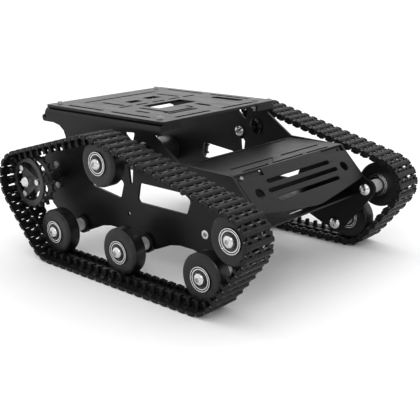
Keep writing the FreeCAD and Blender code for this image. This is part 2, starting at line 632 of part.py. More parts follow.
def gear_motor():
    x, z = S.drive_x, S.drive_height
    face, back = -S.side_inside, -S.side_inside + S.gearbox_length
    bore = S.shaft_radius + S.running_gap
    casing = turned("gearbox", [(bore, face), (S.gearbox_radius, face), (S.gearbox_radius, back),
                                (0, back), (0, face + 6), (bore, face + 6)], x, z)
    can = turned("motor", [(0, back), (S.can_radius, back), (S.can_radius, back + S.can_length - 2),
                           (S.can_radius - 1.5, back + S.can_length), (S.gearbox_radius / 2, back + S.can_length),
                           (S.gearbox_radius / 2, back + S.can_length + 2), (0, back + S.can_length + 2)], x, z)
    top = -S.side_outside - S.small_head_height
    screws = [turned(f"motor_screw_{number}", [(0, face), (S.small_screw, face), (S.small_screw, -S.side_outside),
                                               (S.small_head, -S.side_outside), (S.small_head, top), (0, top)],
                     x, z + S.motor_screw_radius * sign) for number, sign in enumerate((-1, 1))]
    for item, label in ((casing, "gearbox"), (can, "motor_can"), (group(screws, "motor_screw_set"), "motor_screws")):
        node(item, label + "_right")
        mirrored(item, label + "_left")


def around(radius, degrees):
    """A place at a radius and an angle about an axle."""
    angle = math.radians(degrees)
    return radius * math.cos(angle), radius * math.sin(angle)


def spider_corners():
    return [around(S.spider_reach, float(S.spider_turn) + step) for step in (0, 120, 240)]


def screw_places():
    return [around(S.sprocket_screw, float(S.spider_turn) + step) for step in (0, 120, 240)]


def at_drive(item):
    bind(item, Placement__Base__x=S.drive_x, Placement__Base__z=S.drive_height)
    return item


def sprocket_disc(name, inside, outside, ring_to, bore, tooth_angle):
    """A toothed ring and the three-cornered web that carries it."""
    body = DOC.addObject("PartDesign::Body", name)
    ring = new_sketch(body, name + "_ring", "XZ_Plane", inside)
    draw_circle(ring, (0, 0), S.ring_outer)
    draw_circle(ring, (0, 0), S.ring_inner)
    pad(body, ring, ring_to - inside)
    web = new_sketch(body, name + "_web", "XZ_Plane", inside)
    draw_outline(web, spider_corners())
    pad(body, web, outside - inside)
    tooth = new_sketch(body, name + "_tooth", "XZ_Plane", inside)
    half = float(S.tooth_width) / 2
    root, tip = S.ring_outer - 0.6, S.tooth_tip
    spread = [math.degrees(math.atan2(half, root)), math.degrees(math.atan2(half * 0.45, tip))]
    draw_outline(tooth, [around(root, tooth_angle - spread[0]), around(tip, tooth_angle - spread[1]),
                         around(tip, tooth_angle + spread[1]), around(root, tooth_angle + spread[0])])
    one = pad(body, tooth, outside - inside)
    DOC.recompute()
    teeth = body.newObject("PartDesign::PolarPattern", name + "_teeth")
    teeth.Originals = [one]
    teeth.Axis = (origin_plane(body, "Y_Axis"), [""])
    teeth.Angle = 360
    bind(teeth, Occurrences=S.teeth)
    body.Tip = teeth
    holes = new_sketch(body, name + "_holes", "XZ_Plane", inside)
    draw_circle(holes, (0, 0), bore)
    for place in screw_places():
        draw_circle(holes, place, S.small_screw + S.running_gap)
    pocket(body, holes)
    return at_drive(body)


def sprocket_hub():
    body = DOC.addObject("PartDesign::Body", "hub")
    barrel = new_sketch(body, "hub_barrel", "XZ_Plane", S.hub_inside)
    draw_circle(barrel, (0, 0), S.hub_radius)
    pad(body, barrel, S.disc_inner_out - S.hub_inside)
    block = new_sketch(body, "hub_block", "XZ_Plane", S.disc_inner_out)
    draw_outline(block, spider_corners())
    pad(body, block, S.disc_outer_in - S.disc_inner_out)
    holes = new_sketch(body, "hub_holes", "XZ_Plane", S.hub_inside)
    draw_circle(holes, (0, 0), S.shaft_radius)
    for place in screw_places():
        draw_circle(holes, place, S.small_screw + S.running_gap)
    pocket(body, holes)
    return at_drive(body)


def sprocket(tooth_angle):
    inner = sprocket_disc("disc_inner", S.disc_inner_in, S.disc_inner_out, S.disc_inner_out, S.hub_radius,
                          tooth_angle)
    outer = sprocket_disc("disc_outer", S.disc_outer_in, S.disc_outer_out, S.ring_out, S.shaft_radius,
                          tooth_angle)
    end = -S.disc_outer_out
    shaft = turned("shaft", [(0, -S.side_inside + S.shaft_bite), (S.shaft_radius, -S.side_inside + S.shaft_bite),
                             (S.shaft_radius, end), (S.small_screw, end), (S.small_screw, end + S.centre_bite),
                             (0, end + S.centre_bite)], S.drive_x, S.drive_height)
    screws = [turned("centre_screw", [(0, end + S.centre_bite), (S.small_screw, end + S.centre_bite),
                                      (S.small_screw, end), (S.centre_head_radius, end),
                                      (S.centre_head_radius, -S.centre_head_out + 1.2),
                                      (S.centre_head_radius * 0.7, -S.centre_head_out),
                                      (0, -S.centre_head_out)], S.drive_x, S.drive_height)]
    top = end - S.small_head_height
    for number, (x, z) in enumerate(screw_places()):
        screws.append(turned(f"sprocket_screw_{number}", [(0, -S.disc_inner_in), (S.small_screw, -S.disc_inner_in),
                                                          (S.small_screw, end), (S.small_head * 0.84, end),
                                                          (S.small_head * 0.84, top), (0, top)],
                             x + S.drive_x, z + S.drive_height))
    for item, label in ((inner, "sprocket_inner_disc"), (outer, "sprocket_outer_disc"),
                        (sprocket_hub(), "sprocket_hub"), (shaft, "drive_shaft"),
                        (group(screws, "sprocket_screw_set"), "sprocket_screws")):
        node(item, label + "_right")
        mirrored(item, label + "_left")


# ---------------------------------------------------------------- tracks

class Loop:
    """The closed line of the hinge pins: arcs about the wheels joined by their outer tangents."""

    def __init__(self, pitch):
        drive_radius = pitch / (2 * math.sin(math.pi / S.teeth))
        wheels = [(S.road_rear_x, S.road_height, S.pin_drop), (S.road_front_x, S.road_height, S.pin_drop),
                  (S.idler_x, S.idler_height, S.pin_drop), (S.roller_x, S.roller_height, S.pin_drop),
                  (S.drive_x, S.drive_height, drive_radius)]
        wheels = [tuple(float(size) for size in item) for item in wheels]
        self.spans = []
        ways = [self.tangent(wheels[here], wheels[(here + 1) % len(wheels)]) for here in range(len(wheels))]
        for here, (x, z, radius) in enumerate(wheels):
            enter, leave = ways[here - 1], ways[here]
            turn = (leave - enter) % (2 * math.pi)
            self.spans.append(("arc", x, z, radius, enter, radius * turn))
            after = wheels[(here + 1) % len(wheels)]
            start = (x + radius * math.cos(leave), z + radius * math.sin(leave))
            stop = (after[0] + after[2] * math.cos(leave), after[1] + after[2] * math.sin(leave))
            self.spans.append(("line", start, stop, math.dist(start, stop)))
        self.length = sum(span[-1] for span in self.spans)

    @staticmethod
    def tangent(one, other):
        """Angle, seen from either centre, of the points where their outer tangent touches."""
        across, up = other[0] - one[0], other[1] - one[1]
        return math.atan2(up, across) - math.acos((one[2] - other[2]) / math.hypot(across, up))

    def at(self, along):
        along %= self.length
        for span in self.spans:
            if along <= span[-1]:
                break
            along -= span[-1]
        if span[0] == "arc":
            _, x, z, radius, enter, _ = span
            angle = enter + along / radius
            return x + radius * math.cos(angle), z + radius * math.sin(angle)
        _, start, stop, length = span
        share = along / length
        return start[0] + (stop[0] - start[0]) * share, start[1] + (stop[1] - start[1]) * share

    def next_pin(self, along, pitch):
        """How far along the loop the next pin is, one straight pitch away."""
        here = self.at(along)
        low, high = along + pitch * 0.9, along + pitch * 1.2
        for _ in range(40):
            middle = (low + high) / 2
            if math.dist(here, self.at(middle)) < pitch:
                low = middle
            else:
                high = middle
        return (low + high) / 2

    def pins(self, pitch):
        places = [0.0]
        for _ in range(int(S.link_count)):
            places.append(self.next_pin(places[-1], pitch))
        return places


def fitted_loop():
    """The pitch at which a whole number of links closes the loop, and the places of its pins."""
    low, high = 8.0, 9.0
    for _ in range(40):
        pitch = (low + high) / 2
        loop = Loop(pitch)
        places = loop.pins(pitch)
        if places[-1] < loop.length:
            low = pitch
        else:
            high = pitch
    return pitch, [loop.at(along) for along in places[:-1]]


def block(name, x, y, z):
    """A box between two places along each axis."""
    box = DOC.addObject("Part::Box", name)
    (x0, x1), (y0, y1), (z0, z1) = ([as_size(size) for size in ends] for ends in (x, y, z))
    bind(box, Length=x1 - x0, Width=y1 - y0, Height=z1 - z0,
         Placement__Base__x=x0, Placement__Base__y=y0, Placement__Base__z=z0)
    return box


def rod(name, radius, x, inside, outside):
    """A round bar across the track at the pin line."""
    bar = DOC.addObject("Part::Cylinder", name)
    bar.Placement = FreeCAD.Placement(FreeCAD.Vector(0, 0, 0), ALONG_LEFT)
    bind(bar, Radius=radius, Height=outside - inside, Placement__Base__x=x, Placement__Base__y=-outside)
    return bar


def master_link(half_pitch):
    """One link at the origin: X along the track, Z towards the wheels, the pins on the line Z = 0."""
    half_tread, half_pad, half_knob = S.tread_length / 2, S.pad_length / 2, S.knob_length / 2
    across = (-S.track_outside, -S.track_inside)
    solids = [block("link_tread", (-half_tread, half_tread), across, (-S.tread_out, S.tread_in)),
              block("link_pad", (-half_pad, half_pad), (-S.pad_outside, -S.pad_inside),
                    (S.tread_in - 0.2, S.pad_in)),
              block("link_rail_in", (-half_pad, half_pad), (-S.knob_inner_out, -S.track_inside),
                    (S.tread_in - 0.2, S.rail_inner_in)),
              block("link_rail_out", (-half_pad, half_pad), (-S.track_outside, -S.knob_outer_out),
                    (S.tread_in - 0.2, S.rail_outer_in))]
    for side, inside, outside, top in (("in", S.knob_inner_in, S.knob_inner_out, S.knob_inner_up),
                                       ("out", S.knob_outer_in, S.knob_outer_out, S.knob_outer_up)):
        solids.append(block("link_knob_" + side, (-half_knob, half_knob), (-outside, -inside),
                            (S.tread_in - 0.2, top)))
    bands = [(S.track_inside, S.slit_inside), (S.pad_inside, S.pad_outside), (S.knob_outer_in, S.track_outside)]
    for number, (inside, outside) in enumerate(bands):
        middle = (inside + outside) / 2
        for end, low, high in ((1, inside, middle - S.knuckle_gap / 2),
                               (-1, middle + S.knuckle_gap / 2, outside)):
            name = f"link_knuckle_{number}_{'ahead' if end > 0 else 'behind'}"
            solids.append(rod(name, S.knuckle_radius, half_pitch * end, low, high))
            reach = sorted((half_pitch * end, (half_tread - 0.2) * end))
            solids.append(block(name + "_web", reach, (-high, -low), (-S.tread_in, S.tread_in)))
    whole = DOC.addObject("Part::MultiFuse", "link_whole")
    whole.Shapes = solids
    eyes = [rod(f"link_eye_{end}", S.pin_radius + S.running_gap, half_pitch * end, S.track_inside,
                S.track_outside) for end in (-1, 1)]
    bores = DOC.addObject("Part::MultiFuse", "link_eyes")
    bores.Shapes = eyes
    link = DOC.addObject("Part::Cut", "link")
    link.Base, link.Tool = whole, bores
    return link


def on_pins(name, shape, frames):
    """Copies of a shape, one for each (x, z, angle), as one node of separate solids."""
    copies = []
    for x, z, angle in frames:
        copy = shape.copy()
        turn = FreeCAD.Rotation(Y_AXIS, -math.degrees(angle))
        copy.Placement = FreeCAD.Placement(FreeCAD.Vector(x, 0, z), turn).multiply(copy.Placement)
        copies.append(copy)
    feature = DOC.addObject("Part::Feature", name)
    feature.Shape = Part.makeCompound(copies)
    return feature


def tracks(pitch, pins):
    link = master_link(as_size(pitch / 2))
    pin = rod("pin", S.pin_radius, as_size(0), S.track_inside + 0.3, S.track_outside - 0.3)
    DOC.recompute()
    frames = []
    for here, place in enumerate(pins):
        after = pins[(here + 1) % len(pins)]
        angle = math.atan2(after[1] - place[1], after[0] - place[0])
        frames.append(((place[0] + after[0]) / 2, (place[1] + after[1]) / 2, angle))
    for shape, places, label in ((link.Shape, frames, "track_links"),
                                 (pin.Shape, [(x, z, 0.0) for x, z in pins], "track_pins")):
        loop = node(on_pins(label, shape, places), label + "_right")
        mirrored(loop, label + "_left")


def tooth_angle(pins):
    """The angle, about the drive axle, of a link's middle: the sprocket has a tooth there."""
    offsets = [(x - S.drive_x, z - S.drive_height) for x, z in pins]
    rear = min(range(len(pins)), key=lambda number: offsets[number][0])
    first, second = offsets[rear], offsets[(rear + 1) % len(pins)]
    return math.degrees(math.atan2(first[1] + second[1], first[0] + second[0]))


# ---------------------------------------------------------------- the whole model

def nose_screw():
    """A small screw in the inward tab of the right side plate, in the relief beside the nose."""
    stem = DOC.addObject("Part::Cylinder", "nose_screw_stem")
    cap = DOC.addObject("Part::Cone", "nose_screw_cap")
    bind(stem, Radius=S.tab_screw, Height=S.plate)
    bind(cap, Radius1=S.tab_head, Radius2=S.tab_head * 0.7, Height=S.tab_head_height,
         Placement__Base__z=S.plate)
    screw = DOC.addObject("Part::Fuse", "nose_screw")
    screw.Base, screw.Tool = stem, cap
    lay_on_slope(screw, -S.sheet - S.plate)
    node(screw, "nose_screw")


def check(items):
    """Stops unless every object recomputed and every node is a sound shape."""
    DOC.recompute()
    failed = [item.Name for item in DOC.Objects if "Invalid" in item.State or "Error" in item.State]
    if failed:
        raise RuntimeError(f"failed objects: {failed}")
    for item in items:
        if item.Shape.isNull() or not item.Shape.isValid() or not item.Shape.Solids:
            raise RuntimeError(f"bad shape in {item.Label}")


def export(items):
    os.makedirs("parts", exist_ok=True)
    for item in items:
        item.Shape.exportStep(f"parts/{item.Label}.step")
        box = item.Shape.BoundBox
        print(f"{item.Label:32s} {len(item.Shape.Solids):3d} solids {item.Shape.Volume:10.1f} mm3 "
              f"x {box.XMin:7.1f} {box.XMax:7.1f} y {box.YMin:7.1f} {box.YMax:7.1f} z {box.ZMin:6.1f} {box.ZMax:6.1f}")


side_plate()
deck_plate()
deck_fasteners()
bonnet_and_nose()
nose_screw()
cross_plate()
for wheel_name, wheel_x, wheel_z in WHEELS:
    wheel(wheel_name, wheel_x, wheel_z)
    bearings(wheel_name, wheel_x, wheel_z)
axle_set()
gear_motor()
link_pitch, pin_places = fitted_loop()
print("link pitch", link_pitch)
sprocket(tooth_angle(pin_places))
tracks(link_pitch, pin_places)
check(NODES)
export(NODES)
print(len(NODES), "nodes")
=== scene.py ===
"""Looks of the tracked robot chassis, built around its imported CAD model.

Lengths are in metres, in the CAD's own frame, unless a comment says mm.
"""
import math

import bmesh
import bpy
from mathutils import Matrix, Vector


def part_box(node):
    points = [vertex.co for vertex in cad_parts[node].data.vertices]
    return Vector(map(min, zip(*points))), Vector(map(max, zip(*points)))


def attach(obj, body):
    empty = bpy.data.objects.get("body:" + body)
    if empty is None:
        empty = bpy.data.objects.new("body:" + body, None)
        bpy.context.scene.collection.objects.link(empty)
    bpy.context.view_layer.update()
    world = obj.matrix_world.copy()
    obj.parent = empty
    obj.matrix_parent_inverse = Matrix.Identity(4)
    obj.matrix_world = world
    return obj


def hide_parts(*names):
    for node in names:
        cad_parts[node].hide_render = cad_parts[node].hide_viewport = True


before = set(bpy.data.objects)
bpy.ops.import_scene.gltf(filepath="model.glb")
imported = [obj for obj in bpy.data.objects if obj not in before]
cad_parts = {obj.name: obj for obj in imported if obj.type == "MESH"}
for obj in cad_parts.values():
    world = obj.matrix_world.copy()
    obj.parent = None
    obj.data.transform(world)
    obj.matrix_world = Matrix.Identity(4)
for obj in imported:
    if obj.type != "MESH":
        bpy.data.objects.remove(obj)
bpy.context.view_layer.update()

MM = 0.001
SIDES = {"right": -1, "left": 1}
WHEELS = ["road_wheel_rear", "road_wheel_mid", "road_wheel_front", "idler_wheel", "return_roller"]
# this wheel's spacer is black nylon, painted shade between the return roller and the side plate
PAINTED_SHADE_SPACER = "return_roller"


# ---------------------------------------------------------------- materials

# Most values of a noise texture lie between these two.
NOISE_LOW, NOISE_HIGH = 0.35, 0.65


class Paint:
    """A Principled material and short calls that add nodes to it.

    Further shader sockets are given by name, with _ for each space.
    """

    def __init__(self, name, color, rough, metal=0.0, **sockets):
        self.material = bpy.data.materials.new(name)
        self.material.use_nodes = True
        self.tree = self.material.node_tree
        self.shader = self.tree.nodes["Principled BSDF"]
        self.shader.inputs["Base Color"].default_value = (*color, 1)
        self.shader.inputs["Roughness"].default_value = rough
        self.shader.inputs["Metallic"].default_value = metal
        for socket, value in sockets.items():
            self.shader.inputs[socket.replace("_", " ")].default_value = value
        self.place = self.node("ShaderNodeTexCoord").outputs["Object"]
        self.normal = None

    def node(self, kind, **settings):
        made = self.tree.nodes.new(kind)
        for name, value in settings.items():
            setattr(made, name, value)
        return made

    def link(self, out, into):
        self.tree.links.new(out, into)

    def stretched(self, scale):
        """The object's own coordinates, scaled along each axis."""
        mapping = self.node("ShaderNodeMapping")
        mapping.inputs["Scale"].default_value = scale
        self.link(self.place, mapping.inputs["Vector"])
        return mapping.outputs["Vector"]

    def noise(self, size, detail, scale=(1, 1, 1), rough=0.5):
        """Noise whose features are about the given size."""
        made = self.node("ShaderNodeTexNoise")
        made.inputs["Scale"].default_value = 1 / size
        made.inputs["Detail"].default_value = detail
        made.inputs["Roughness"].default_value = rough
        self.link(self.stretched(scale), made.inputs["Vector"])
        return made.outputs["Fac"]

    def grains(self, size):
        """Cells of the given size, as a height."""
        made = self.node("ShaderNodeTexVoronoi")
        made.inputs["Scale"].default_value = 1 / size
        self.link(self.place, made.inputs["Vector"])
        return made.outputs["Distance"]

    def ramp(self, value, low, high, start=NOISE_LOW, end=NOISE_HIGH):
        """Maps a value between start and end to one between low and high."""
        made = self.node("ShaderNodeMapRange")
        for name, number in (("From Min", start), ("From Max", end), ("To Min", low), ("To Max", high)):
            made.inputs[name].default_value = number
        self.link(value, made.inputs["Value"])
        return made.outputs["Result"]

    def mix(self, value, one, other):
        """A colour between two tones."""
        made = self.node("ShaderNodeValToRGB")
        for element, position, tone in zip(made.color_ramp.elements, (NOISE_LOW, NOISE_HIGH), (one, other)):
            element.position = position
            element.color = (*tone, 1)
        self.link(value, made.inputs["Fac"])
        return made.outputs["Color"]

    def color(self, out):
        self.link(out, self.shader.inputs["Base Color"])

    def rough(self, out):
        self.link(out, self.shader.inputs["Roughness"])

    def bump(self, height, depth, strength):
        """Adds a bump of the given depth over any earlier one."""
        made = self.node("ShaderNodeBump")
        made.inputs["Distance"].default_value = depth
        made.inputs["Strength"].default_value = strength
        self.link(height, made.inputs["Height"])
        if self.normal:
            self.link(self.normal, made.inputs["Normal"])
        self.normal = made.outputs["Normal"]
        self.link(self.normal, self.shader.inputs["Normal"])

    def calculate(self, operation, *values):
        """The result of a maths node; a value is a float or another node's output."""
        made = self.node("ShaderNodeMath", operation=operation)
        for socket, value in zip(made.inputs, values):
            if isinstance(value, float):
                socket.default_value = value
            else:
                self.link(value, socket)
        return made.outputs[0]

    def rings(self, spacing):
        """Fine turning marks about the object's own Y axis."""
        parts = self.node("ShaderNodeSeparateXYZ")
        self.link(self.place, parts.inputs[0])
        sides = [parts.outputs[axis] for axis in ("X", "Z")]
        squares = [self.calculate("MULTIPLY", side, side) for side in sides]
        radius = self.calculate("SQRT", self.calculate("ADD", *squares))
        return self.calculate("SINE", self.calculate("MULTIPLY", radius, 2 * math.pi / spacing))


def sheet_paint():
    """Black coated sheet metal: a fine grain with slow drifts of tone and light rub marks."""
    paint = Paint("black_sheet", color=(0.003, 0.003, 0.0033), rough=0.38, Specular_IOR_Level=0.19)
    drift = paint.noise(size=45 * MM, detail=4.0)
    rub = paint.noise(size=6 * MM, detail=5.0, scale=(0.25, 1, 1), rough=0.65)
    paint.color(paint.mix(drift, (0.0022, 0.0022, 0.0025), (0.0045, 0.0045, 0.005)))
    paint.rough(paint.ramp(rub, low=0.32, high=0.42, start=0.3, end=0.7))
    paint.bump(paint.grains(size=0.45 * MM), depth=0.03 * MM, strength=0.5)
    paint.bump(paint.noise(size=12 * MM, detail=3.0), depth=0.08 * MM, strength=0.25)
    return paint.material


def wheel_paint():
    """Turned black nylon with fine rings on its faces."""
    paint = Paint("black_nylon", color=(0.005, 0.005, 0.0053), rough=0.36, Specular_IOR_Level=0.3)
    drift = paint.noise(size=9 * MM, detail=4.0)
    paint.color(paint.mix(drift, (0.004, 0.004, 0.0043), (0.008, 0.008, 0.0083)))
    paint.rough(paint.ramp(paint.noise(size=3 * MM, detail=3.0), low=0.28, high=0.42))
    paint.bump(paint.rings(spacing=0.6 * MM), depth=0.01 * MM, strength=0.5)
    paint.bump(paint.noise(size=1.1 * MM, detail=4.0), depth=0.02 * MM, strength=0.35)
    return paint.material


def track_paint():
    """Moulded black plastic: a little dust in the grain, dull and slightly uneven."""
    paint = Paint("track_plastic", color=(0.004, 0.004, 0.004), rough=0.42, Specular_IOR_Level=0.17)
    dust = paint.noise(size=4 * MM, detail=5.0)
    paint.color(paint.mix(dust, (0.003, 0.003, 0.003), (0.007, 0.007, 0.0068)))
    paint.rough(paint.ramp(paint.noise(size=1.6 * MM, detail=4.0), low=0.36, high=0.56))
    paint.bump(paint.noise(size=0.7 * MM, detail=5.0, rough=0.6), depth=0.06 * MM, strength=0.6)
    return paint.material


def steel_paint(name, tone, rough, streak=(1, 1, 1)):
    """Steel of a grey tone with fine scratches; streak stretches them along an axis."""
    blue, dark, light = 1.01, 0.86, 1.08
    smoother, rougher = 0.75, 1.35
    paint = Paint(name, color=(tone, tone, tone * blue), rough=rough, metal=1.0)
    drift = paint.noise(size=3 * MM, detail=4.0)
    paint.color(paint.mix(drift, (tone * dark,) * 3, (min(tone * light, 1),) * 3))
    scratches = paint.noise(size=1.2 * MM, detail=5.0, scale=streak, rough=0.7)
    paint.rough(paint.ramp(scratches, low=rough * smoother, high=rough * rougher))
    paint.bump(paint.noise(size=0.5 * MM, detail=4.0, scale=streak), depth=0.01 * MM, strength=0.4)
    return paint.material


def spacer_paint():
    """Matte bead-blasted aluminium."""
    paint = Paint("blasted_aluminium", color=(0.6, 0.6, 0.59), rough=0.5, metal=0.6)
    paint.color(paint.mix(paint.noise(size=5 * MM, detail=3.0), (0.54, 0.54, 0.53), (0.66, 0.66, 0.65)))
    paint.rough(paint.ramp(paint.noise(size=1 * MM, detail=3.0), low=0.5, high=0.68))
    paint.bump(paint.grains(size=0.25 * MM), depth=0.02 * MM, strength=0.6)
    return paint.material


def sprocket_paint():
    """Dark satin anodised aluminium."""
    paint = Paint("dark_anodised", color=(0.035, 0.035, 0.038), rough=0.4, metal=0.6)
    drift = paint.noise(size=6 * MM, detail=4.0)
    paint.color(paint.mix(drift, (0.028, 0.028, 0.03), (0.045, 0.045, 0.048)))
    paint.rough(paint.ramp(paint.noise(size=2 * MM, detail=4.0), low=0.32, high=0.46))
    paint.bump(paint.rings(spacing=0.5 * MM), depth=0.01 * MM, strength=0.3)
    paint.bump(paint.grains(size=0.3 * MM), depth=0.02 * MM, strength=0.4)
    return paint.material


def floor_paint():
    """Plain pale studio floor with the faintest grain."""
    paint = Paint("studio_floor", color=(0.86, 0.86, 0.86), rough=0.75, Specular_IOR_Level=0.2)
    paint.bump(paint.noise(size=4 * MM, detail=3.0), depth=0.05 * MM, strength=0.1)
    return paint.material


MATERIALS = {
    "sheet": sheet_paint(),
    "wheel": wheel_paint(),
    "track": track_paint(),
    "spacer": spacer_paint(),
    "sprocket": sprocket_paint(),
    "bearing": steel_paint("bearing_steel", tone=0.62, rough=0.2),
    # near-black steel on the bearings' grooves and sunk shields: painted shade of these recesses
    "shield": steel_paint("bearing_painted_shade", tone=0.06, rough=0.34),
    "bolt": steel_paint("zinc_steel", tone=0.6, rough=0.17),
    "screw": steel_paint("screw_steel", tone=0.6, rough=0.28),
    "dull_screw": steel_paint("dull_screw_steel", tone=0.22, rough=0.36),
    "pin": steel_paint("pin_wire", tone=0.12, rough=0.4),
    "gearbox": steel_paint("gearbox_metal", tone=0.14, rough=0.4),
    "can": steel_paint("can_plate", tone=0.05, rough=0.22, streak=(1, 0.1, 1)),
}


# ---------------------------------------------------------------- mesh tools

ON_AXIS = 1e-9
HEX = math.radians(60)
ROUND_STEPS = 3
LONGEST_CUT = 0.45      # share of a side that a rounded corner may take


def finish_mesh(name, bm, materials, sharp_degrees=35.0):
    """A mesh object from bmesh data, shaded smooth except at sharp edges."""
    bmesh.ops.recalc_face_normals(bm, faces=bm.faces)
    mesh = bpy.data.meshes.new(name)
    bm.to_mesh(mesh)
    bm.free()
    for material in materials:
        mesh.materials.append(material)
    mesh.set_sharp_from_angle(angle=math.radians(sharp_degrees))
    for polygon in mesh.polygons:
        polygon.use_smooth = True
    piece = bpy.data.objects.new(name, mesh)
    bpy.context.scene.collection.objects.link(piece)
    return piece


def ring(inside, outside, start, stop):
    """The (radius, y) outline of a plain ring."""
    return [(inside, start), (outside, start), (outside, stop), (inside, stop)]


def facing(outline, middle, way):
    """An outline whose y is measured from the middle of a wheel, turned to face +Y or -Y."""
    return [(radius, middle + y * way) for radius, y in outline]


def rounded(outline, radius):
    """A closed (radius, y) outline with its corners rounded by short curves."""
    points = [Vector(point) for point in outline]
    result = []
    for here, corner in enumerate(points):
        into = points[here - 1] - corner
        out = points[(here + 1) % len(points)] - corner
        reach = min(radius, into.length * LONGEST_CUT, out.length * LONGEST_CUT)
        start = corner + into.normalized() * reach
        stop = corner + out.normalized() * reach
        for step in range(ROUND_STEPS + 1):
            share = step / ROUND_STEPS
            result.append(start.lerp(corner, share).lerp(corner.lerp(stop, share), share))
    return result


def spun(bm, outline, centre, turns, closed=True, shape=None, material=0):
    """Turns a (radius, y) outline about the axle along Y through centre.

    shape, where given, says how far out a point goes from its radius and angle.
    """
    rings = []
    for radius, y in outline:
        if radius < ON_AXIS:
            rings.append([bm.verts.new((centre.x, y, centre.z))])
            continue
        made = []
        for step in range(turns):
            angle = 2 * math.pi * step / turns
            reach = shape(radius, angle) if shape else radius
            made.append(bm.verts.new((centre.x + reach * math.cos(angle), y,
                                      centre.z + reach * math.sin(angle))))
        rings.append(made)
    pairs = list(zip(rings, rings[1:]))
    if closed:
        pairs.append((rings[-1], rings[0]))
    for one, other in pairs:
        for step in range(turns):
            after = (step + 1) % turns
            corners = [one[step % len(one)], one[after % len(one)],
                       other[after % len(other)], other[step % len(other)]]
            bm.faces.new(list(dict.fromkeys(corners))).material_index = material


def hex_reach(corner, angle):
    """Distance from the middle of a hexagon to its side at an angle."""
    return corner * math.cos(HEX / 2) / math.cos(angle % HEX - HEX / 2)


def keep_local(piece, centre):
    """Puts the piece's own origin at its axle, so that turning marks centre on it."""
    piece.data.transform(Matrix.Translation(-centre))
    piece.location = centre
    return piece


def settle(piece, body, node):
    """Says what the piece rides on, and hides the node it stands for."""
    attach(piece, body)
    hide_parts(node)


# ---------------------------------------------------------------- wheels, bearings and axles

def wheel(name, side):
    """A turned wheel: a sunk seat for the bearing flange, a flat face and a lower step with chamfers."""
    node = f"{name}_{side}"
    low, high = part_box(node)
    centre = (low + high) / 2
    radius, half = (high.x - low.x) / 2, (high.y - low.y) / 2
    bore, seat, seat_depth = 8.05 * MM, 8.9 * MM, 0.5 * MM
    face_start, face_end = 9.2 * MM, radius - 2.1 * MM
    step_start, step_middle, step_depth = radius - 1.9 * MM, radius - 1.6 * MM, 0.35 * MM
    chamfer, corner = 1.2 * MM, 0.35 * MM
    outline = [(bore, half - seat_depth), (seat, half - seat_depth),
               (face_start, half), (face_end, half),
               (step_start, half - step_depth), (step_middle, half - step_depth),
               (radius - chamfer, half - step_depth), (radius, half - chamfer - step_depth),
               (radius, chamfer - half), (radius - chamfer, -half), (bore, -half)]
    bm = bmesh.new()
    spun(bm, rounded(facing(outline, centre.y, SIDES[side]), corner), centre, turns=112)
    piece = finish_mesh(f"wheel_{node}", bm, [MATERIALS["wheel"]], sharp_degrees=30)
    settle(keep_local(piece, centre), node, node)


def bearing(name, side):
    """The outer rings and sunk shields of the two bearings in a wheel, one at each face; the groove in each
    outer ring and the sunk shield are near-black steel, painted shade of these recesses.
    """
    node = f"{name}_bearings_{side}"
    low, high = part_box(node)
    centre = (low + high) / 2
    half = (high.y - low.y) / 2
    half_gap, corner = 0.02 * MM, 0.1 * MM
    flange, flange_inside, flange_foot = 8.8 * MM, 8.15 * MM, half - 1.0 * MM
    race, race_outside, race_top = 6.6 * MM, 7.4 * MM, half - 0.15 * MM
    groove_inside, groove_outside, groove_floor = 7.35 * MM, 8.2 * MM, half - 0.6 * MM
    body = 8.0 * MM
    eye, eye_outside, eye_top = 4.35 * MM, 5.3 * MM, half - 0.3 * MM
    shield, shield_outside = 5.5 * MM, race + 0.05 * MM
    shield_top, shield_foot = half - 0.75 * MM, half - 1.1 * MM
    flange_ring = ring(flange_inside, flange, half, flange_foot)
    race_ring = ring(race, race_outside, race_top, half_gap)
    groove = [(groove_inside, groove_floor), (groove_outside, groove_floor), (groove_outside, flange_foot),
              (body, flange_foot), (body, half_gap), (groove_inside, half_gap)]
    disc = [(eye, eye_top), (eye_outside, eye_top), (shield, shield_top), (shield_outside, shield_top),
            (shield_outside, shield_foot), (eye, shield_foot)]
    # the dark material is painted shade in the outer ring's groove and on the sunk shield
    bright, dark = 0, 1
    bm = bmesh.new()
    for way in (-1, 1):
        for outline, material in ((flange_ring, bright), (race_ring, bright), (groove, dark), (disc, dark)):
            spun(bm, rounded(facing(outline, centre.y, way), corner), centre, turns=96, material=material)
    piece = finish_mesh(f"bearing_{name}_{side}", bm, [MATERIALS["bearing"], MATERIALS["shield"]],
                        sharp_degrees=32)
    settle(keep_local(piece, centre), f"{name}_{side}", node)


def axle_places(side):
    """The axle centres of one side, read from the wheels."""
    boxes = [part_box(f"{name}_{side}") for name in WHEELS]
    return [(low + high) / 2 for low, high in boxes]


def inner_rings(side):
    """The bearings' inner rings, which stay still on the axles."""
    node = f"bearing_inner_rings_{side}"
    low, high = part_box(node)
    bore, outside, corner = 2.6 * MM, 4.3 * MM, 0.25 * MM
    outline = rounded(ring(bore, outside, low.y, high.y), corner)
    bm = bmesh.new()
    for centre in axle_places(side):
        spun(bm, outline, centre, turns=64)
    settle(finish_mesh(f"inner_rings_{side}", bm, [MATERIALS["bearing"]]), "chassis", node)


def spacers(side):
    """Bare aluminium spacers on the axles, and a black one behind the return roller: painted shade between
    the roller and the side plate.
    """
    node = f"wheel_spacers_{side}"
    low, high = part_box(node)
    bore, outside, corner = 2.55 * MM, 5.0 * MM, 0.35 * MM
    outline = rounded(ring(bore, outside, low.y, high.y), corner)
    bare, black = 0, 1
    bm = bmesh.new()
    for name, centre in zip(WHEELS, axle_places(side)):
        # the return roller's spacer gets the black nylon as painted shade
        spun(bm, outline, centre, turns=72, material=black if name == PAINTED_SHADE_SPACER else bare)
    piece = finish_mesh(f"spacers_{side}", bm, [MATERIALS["spacer"], MATERIALS["wheel"]])
    settle(piece, "chassis", node)


